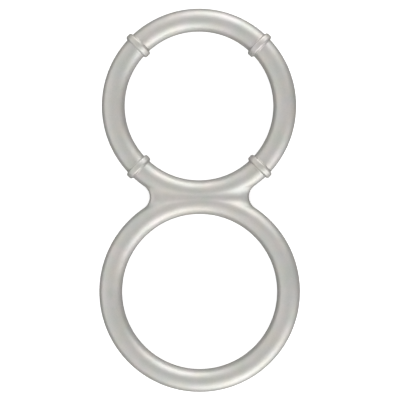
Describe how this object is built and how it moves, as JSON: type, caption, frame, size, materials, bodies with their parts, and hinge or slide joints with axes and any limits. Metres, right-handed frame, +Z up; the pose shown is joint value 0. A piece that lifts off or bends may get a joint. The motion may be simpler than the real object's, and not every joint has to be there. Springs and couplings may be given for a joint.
{
  "type": "double silicone ring",
  "caption": "One-piece figure-eight of joined silicone rings: a collared ring and a slightly wider plain ring, with a notched web between them.",
  "frame": {"origin": "centre of the footprint, on the surface that the rings lie on", "axes": "+X across the rings, +Y from the plain ring to the collared ring, +Z up along the axes of both holes"},
  "size_m": [0.0542, 0.1034, 0.0077],
  "materials": {
    "silicone": "satin silver-grey silicone with a faint pearl and a very fine grain"
  },
  "bodies": {
    "root": {"double_ring": "silicone"}
  },
  "joints": []
}
